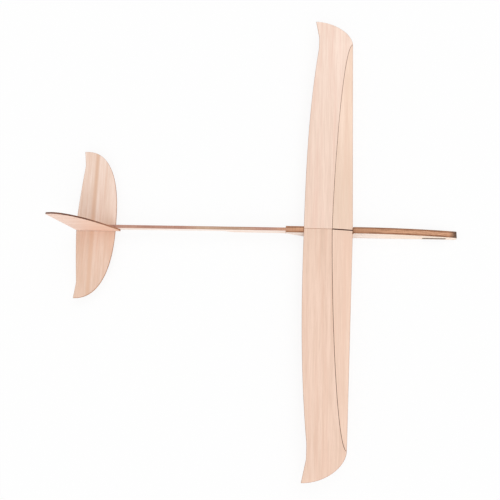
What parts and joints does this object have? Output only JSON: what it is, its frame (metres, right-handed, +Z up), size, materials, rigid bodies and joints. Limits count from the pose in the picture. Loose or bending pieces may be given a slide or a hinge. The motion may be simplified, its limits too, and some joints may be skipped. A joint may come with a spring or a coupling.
{
  "type": "balsa hand glider",
  "caption": "Small hand-launched glider of thin balsa sheet: slim boom, layered nose pod with a ballast bar, curved two-panel wing, rounded stabilizer and swept fin.",
  "frame": {"origin": "on the flat belly of the pod, below the wing's leading edge at its root", "axes": "+X towards the nose, +Y towards the left wing tip, +Z up"},
  "size_m": [0.3842, 0.4599, 0.0588],
  "materials": {
    "wing_balsa": "sanded, unvarnished",
    "tail_balsa": "sanded, unvarnished",
    "body_balsa": "laser-cut edge grain",
    "lead": "dull"
  },
  "bodies": {
    "root": {"fuselage_core": "body_balsa", "cheek_left": "body_balsa", "cheek_right": "body_balsa", "wing_left_rear": "wing_balsa", "wing_left_front": "wing_balsa", "wing_right_rear": "wing_balsa", "wing_right_front": "wing_balsa", "stabilizer": "tail_balsa", "fin": "tail_balsa", "nose_ballast": "lead"}
  },
  "joints": []
}
